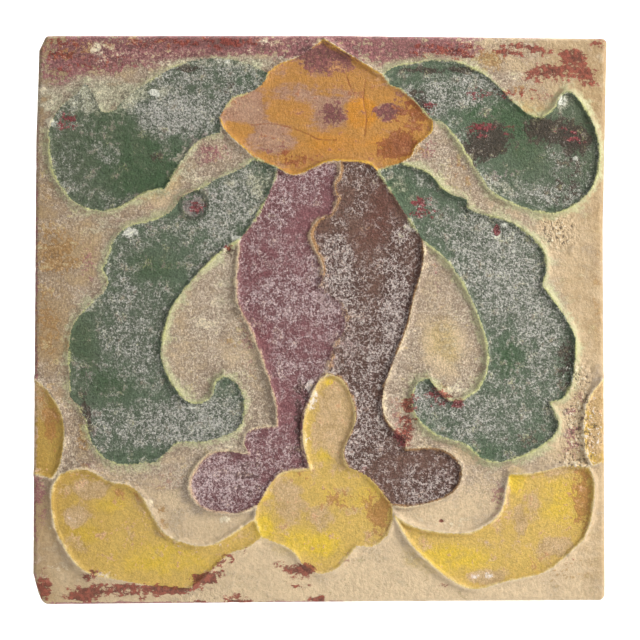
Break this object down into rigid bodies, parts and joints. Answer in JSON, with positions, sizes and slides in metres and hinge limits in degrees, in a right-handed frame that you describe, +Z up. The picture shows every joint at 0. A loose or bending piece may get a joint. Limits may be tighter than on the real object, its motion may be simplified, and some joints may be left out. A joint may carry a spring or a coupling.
{
  "type": "raised-line glazed wall tile",
  "caption": "Square pressed-clay tile whose foliage ornament is drawn in raised lines that part pools of coloured glaze; its flat back beds on a wall.",
  "frame": {"origin": "centre of the rim's bounding square, on the flat back", "axes": "+Y out of the back, into the wall; the glazed face looks along -Y; +Z up the face; +X to the right for a viewer of the face"},
  "size_m": [0.15, 0.0211, 0.1486],
  "materials": {
    "glazed_clay": "worn satin glaze, cream over red clay"
  },
  "bodies": {
    "root": {"tile": "glazed_clay"}
  },
  "joints": []
}
